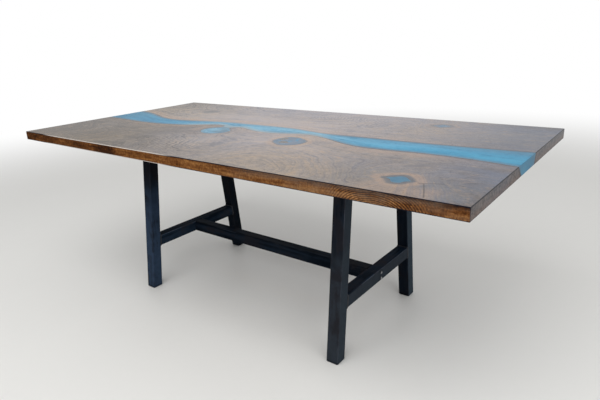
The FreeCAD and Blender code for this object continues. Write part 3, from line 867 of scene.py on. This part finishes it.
def boltZinc():
    # The stretcher's bolts: dark zinc, with a painted highlight on the crown
    material, place = newMaterial("boltZinc")
    x, y, z = separate(place)
    cloud = noise(place, 320.0, 3.0, 0.6)
    away = length(y, abs(z - table["railHeight"]) - zinc["boltRise"]) + (cloud - 0.5) * 0.0015
    # a painted highlight on each bolt's crown
    glintSpot = step(away, *zinc["crownReach"]) * step(abs(x), *zinc["crownPlace"])
    colour = step(cloud, 0.35, 0.65).mix(zinc["dark"], zinc["dull"])
    colour = glintSpot.mix(colour, zinc["glintWhite"])
    return finishMaterial(material, colour, 0.3 + cloud * 0.1 - glintSpot * 0.1, {"Metallic": 0.9},
                          cloud, (0.2, 0.0001))


def turnedBrass():
    # fine grooves round each insert
    material, place = newMaterial("turnedBrass")
    wave = separate(place)[2] * brass["grooves"]
    grooves = wave.math("SINE", wave)
    cloud = noise(place, 300.0, 3.0, 0.6)
    colour = step(cloud, 0.35, 0.7).mix(brass["low"], brass["high"])
    return finishMaterial(material, colour, 0.26 + cloud * 0.16, {"Metallic": 1.0},
                          grooves * 0.5 + cloud, (0.3, 0.0002))


def padRubber():
    # moulded grain, dust on the sides
    material, place = newMaterial("padRubber")
    grain = noise(place, 1400.0, 3.0, 0.7)
    dust = noise(place, 90.0, 3.0, 0.6)
    colour = step(dust * 0.6 + grain * 0.4, 0.42, 0.64).mix(rubber["low"], rubber["high"])
    return finishMaterial(material, colour, 0.68 + dust * 0.22, {"Specular IOR Level": 0.35},
                          grain, (0.5, 0.0003))


dress("top_plate", blackSteel("plate"))
dress(("crush_tubes", "stretcher_end_plate"), bareSteel())
dress(("top_bolts", "top_washers"), zincPlate())
dress("stretcher_bolts", boltZinc())
dress("slab_inserts", turnedBrass())
dress("foot_pad", padRubber())
print("plates and fasteners finished")

# Weld beads, where the rails meet the legs and the legs meet the top plates
weld = {
    "reach": 0.0036,  # from the joint onto the tube
    "proud": 0.0008,  # height over two flush faces
    "swell": 0.13, "ripples": 79, "perRipple": 6,
    "wander": ((0.06, 5, 0), (0.04, 13, 1)),  # size of each slow wave, its number and start
    "sectionPoints": 12,
    "dark": (0.006, 0.007, 0.010), "light": (0.03, 0.034, 0.042),
}


def tubeOutline(depth):
    # Evenly spaced points round a tube's section with rounded corners, and the way out at each. A
    # point is the corner's middle plus the radius times the way out. On a side the middle moves and
    # the way out stays, and round a corner the middle stays and the way out turns.
    width, radius, count = table["tube"], table["tubeRadius"], weld["ripples"] * weld["perRipple"]
    quarter = radius * math.pi / 2
    w, d = width - 2 * radius, depth - 2 * radius
    ends = np.cumsum([0, d, quarter, w, quarter, d, quarter, w, quarter])
    s = np.linspace(0, ends[-1], count, endpoint=False)
    turn = np.interp(s, ends, np.array([0, 0, 1, 1, 2, 2, 3, 3, 4]) * math.pi / 2)
    middleX = np.interp(s, ends, np.array([1, 1, 1, -1, -1, -1, -1, 1, 1]) * w / 2)
    middleY = np.interp(s, ends, np.array([-1, 1, 1, 1, 1, -1, -1, -1, -1]) * d / 2)
    out = np.stack([np.cos(turn), np.sin(turn)], 1)
    return np.stack([middleX, middleY], 1) + radius * out, out


def beadSurface(path, out, onto, heights):
    # point = path + out * height * cos(t) + onto * reach * sin(t), where t goes round the section.
    # Height and reach swell in even ripples along the bead, and wander a little.
    share = np.arange(len(path)) / len(path)
    swell = 1 + weld["swell"] * np.abs(np.cos(math.pi * weld["ripples"] * share))
    for size, waves, start in weld["wander"]:
        swell = swell + size * np.sin(2 * math.pi * waves * share + start)
    t = np.linspace(0, 2 * math.pi, weld["sectionPoints"], endpoint=False)
    outPart = (out * (heights * swell)[:, None])[:, None, :] * np.cos(t)[None, :, None]
    ontoPart = (onto * (weld["reach"] * swell)[:, None])[:, None, :] * np.sin(t)[None, :, None]
    return path[:, None, :] + outPart + ontoPart


def closedFaces(rows, columns):
    # Four-sided faces of a grid that closes on itself both ways
    first = np.arange(rows * columns).reshape(rows, columns)
    after = np.roll(first, -1, 0)
    corners = first, after, np.roll(after, -1, 1), np.roll(first, -1, 1)
    return np.stack(corners, -1).reshape(-1, 4)


def beadPiece(name, beads, material):
    # One mesh of several beads, each turned so that its faces point outwards
    points, faces, start = [], [], 0
    for bead in beads:
        rows, columns, _ = bead.shape
        face = closedFaces(rows, columns)
        flat = bead.reshape(-1, 3)
        middle = flat.mean(0)
        a, b, c = (flat[face[:, k]] - middle for k in (0, 1, 2))
        if np.einsum("ij,ij->i", a, np.cross(b, c)).sum() < 0:  # inside out
            face = face[:, ::-1]
        points.append(flat)
        faces.append(face + start)
        start += len(flat)
    mesh = bpy.data.meshes.new(name)
    mesh.from_pydata(np.vstack(points).tolist(), [], np.vstack(faces).tolist())
    mesh.shade_smooth()
    mesh.materials.append(material)
    piece = bpy.data.objects.new(name, mesh)
    bpy.context.scene.collection.objects.link(piece)
    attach(piece, "root")


def railBead(sideSign, legSign):
    # Round the rail's end: its outline on the leg's inner face, where y falls by the lean for each
    # metre up. height = proud + (reach - proud) * up ** 2, so the bead is low on the flush sides.
    inner = table["tube"] / 2 * math.hypot(1, legLean)
    flat, out = tubeOutline(table["tube"])
    z = flat[:, 1] + table["railHeight"]
    y = (table["footReach"] - legLean * z - inner) * legSign
    path = np.stack([flat[:, 0] + sideSign * table["frameReach"], y, z], 1)
    out = np.stack([out[:, 0], np.zeros(len(out)), out[:, 1]], 1)
    onto = np.tile([0.0, -legSign, 0.0], (len(out), 1))
    heights = weld["proud"] + (weld["reach"] - weld["proud"]) * out[:, 2] ** 2
    return beadSurface(path, out, onto, heights)


def plateBead(sideSign, legSign):
    # Round the leg's top: its outline at the plate's lower face, at full height all round. The
    # section reaches down the leg, along its lean.
    top = underside - table["plateThickness"]
    flat, out = tubeOutline(table["tube"] * math.hypot(1, legLean))
    count = len(out)
    path = np.stack([flat[:, 0] + sideSign * table["frameReach"],
                     flat[:, 1] + legSign * (table["footReach"] - legLean * top),
                     np.full(count, top)], 1)
    out = np.stack([out[:, 0], out[:, 1], np.zeros(count)], 1)
    onto = np.tile([0.0, legSign * legLean, -1.0], (count, 1))
    return beadSurface(path, out, onto, np.full(count, weld["reach"]))


def weldSteel():
    # scaly ripples, dark in their hollows
    material, place = newMaterial("weldSteel")
    scale = noise(place, 420.0, 3.0, 0.65)
    cloud = noise(place, 60.0, 2.0, 0.6)
    colour = step(scale * 0.6 + cloud * 0.4, 0.38, 0.66).mix(weld["dark"], weld["light"])
    others = {"Metallic": 0.1, "Specular IOR Level": 0.1, "Coat Weight": 0.1 + cloud * 0.1,
              "Coat Roughness": 0.3}
    return finishMaterial(material, colour, 0.38 + scale * 0.2, others, scale, (0.4, 0.0003))


beadSteel = weldSteel()
for side, sideSign in (("left", -1), ("right", 1)):
    for joint, bead in (("rail", railBead), ("plate", plateBead)):
        beads = [bead(sideSign, legSign) for legSign in (-1, 1)]
        beadPiece(f"{side}_{joint}_welds", beads, beadSteel)
print("frames welded")

# Floor, light and camera
studio = {
    "floor": (0.82, 0.815, 0.79), "floorReach": 60.0,
    "fade": (2.6, 6.0),  # radius where the floor starts and ends turning white
    "ambient": 0.55,
    "lamps": (
        # place, aim, size and power of each soft lamp
        {"place": (0.4, -2.4, 3.5), "aim": (0.2, -0.2, 0.5), "size": 3.4, "power": 82.0},
        {"place": (2.9, -1.2, 1.7), "aim": (0.4, 0.0, 0.4), "size": 2.0, "power": 24.0},
    ),
}


def makeFloor():
    mesh = bpy.data.meshes.new("studio_floor")
    corners = ((-1, -1), (1, -1), (1, 1), (-1, 1))
    reach = studio["floorReach"]
    mesh.from_pydata([(a * reach, b * reach, 0) for a, b in corners], [], [(0, 1, 2, 3)])
    floor = bpy.data.objects.new("studio_floor", mesh)
    bpy.context.scene.collection.objects.link(floor)
    material, place = newMaterial("studioFloor")
    x, y, _ = separate(place)
    cloud = noise(place, 1.3, 3.0, 0.55)
    speck = noise(place, 26.0, 4.0, 0.65)
    colour = place.node("RGB")
    colour.socket.default_value = (*studio["floor"], 1.0)
    colour = colour.shade(0.97 + cloud * 0.04 + speck * 0.02)
    finishMaterial(material, colour, 0.45 + cloud * 0.1, {"Specular IOR Level": 0.3})
    white = place.node("Emission", {}, {"Color": (1.0, 1.0, 1.0), "Strength": 1.0})
    rays = place.node("LightPath", out="Is Camera Ray")
    seen = largest(rays, rays.also("Is Glossy Ray"))
    far = step(length(x, y), *studio["fade"]) * seen
    shader = Wire(findNode(material, "BSDF_PRINCIPLED").outputs[0])
    both = far.node("MixShader", {}, {0: far, 1: shader, 2: white})
    fill(findNode(material, "OUTPUT_MATERIAL").inputs[0], both)
    mesh.materials.append(material)


def makeWorld():
    world = bpy.data.worlds.new("studio")
    bpy.context.scene.world = world
    world.use_nodes = True
    rays = Wire(world.node_tree.nodes.new("ShaderNodeLightPath").outputs["Is Camera Ray"])
    seen = largest(rays, rays.also("Is Glossy Ray"), rays.also("Is Transmission Ray"))
    background = findNode(world, "BACKGROUND")
    fill(background.inputs["Color"], (1.0, 1.0, 1.0))
    fill(background.inputs["Strength"], seen * (1 - studio["ambient"]) + studio["ambient"])


def makeLamps():
    for number, lamp in enumerate(studio["lamps"]):
        data = bpy.data.lights.new(f"soft_lamp_{number}", "AREA")
        data.shape, data.size, data.energy = "SQUARE", lamp["size"], lamp["power"]
        lampObject = bpy.data.objects.new(data.name, data)
        lampObject.location = lamp["place"]
        aim = Vector(lamp["aim"]) - Vector(lamp["place"])
        lampObject.rotation_euler = aim.to_track_quat("-Z", "Y").to_euler()
        bpy.context.scene.collection.objects.link(lampObject)


# yaw turns from +Y towards -X, pitch is downwards, roll leans the picture
view = {"place": (1.3914, -1.6034, 1.1507), "yaw": 38.172, "pitch": 17.689, "roll": 2.471,
        "lens": 30.007, "shift": (0.01053, -0.01243)}


def makeCamera():
    data = bpy.data.cameras.new("photo_view")
    data.sensor_width, data.sensor_fit, data.lens = 36.0, "HORIZONTAL", view["lens"]
    data.shift_x, data.shift_y = view["shift"]
    data.clip_start, data.clip_end = 0.01, 200.0
    yaw, pitch, roll = (math.radians(view[name]) for name in ("yaw", "pitch", "roll"))
    turns = ((yaw, "Z"), (math.pi / 2 - pitch, "X"), (-roll, "Z"))
    first, second, third = (Matrix.Rotation(angle, 4, axis) for angle, axis in turns)
    camera = bpy.data.objects.new("photo_view", data)
    camera.matrix_world = Matrix.Translation(view["place"]) @ first @ second @ third
    bpy.context.scene.collection.objects.link(camera)
    bpy.context.scene.camera = camera


makeFloor()
makeWorld()
makeLamps()
makeCamera()
bpy.context.scene.view_settings.view_transform = "Standard"
print("studio ready")
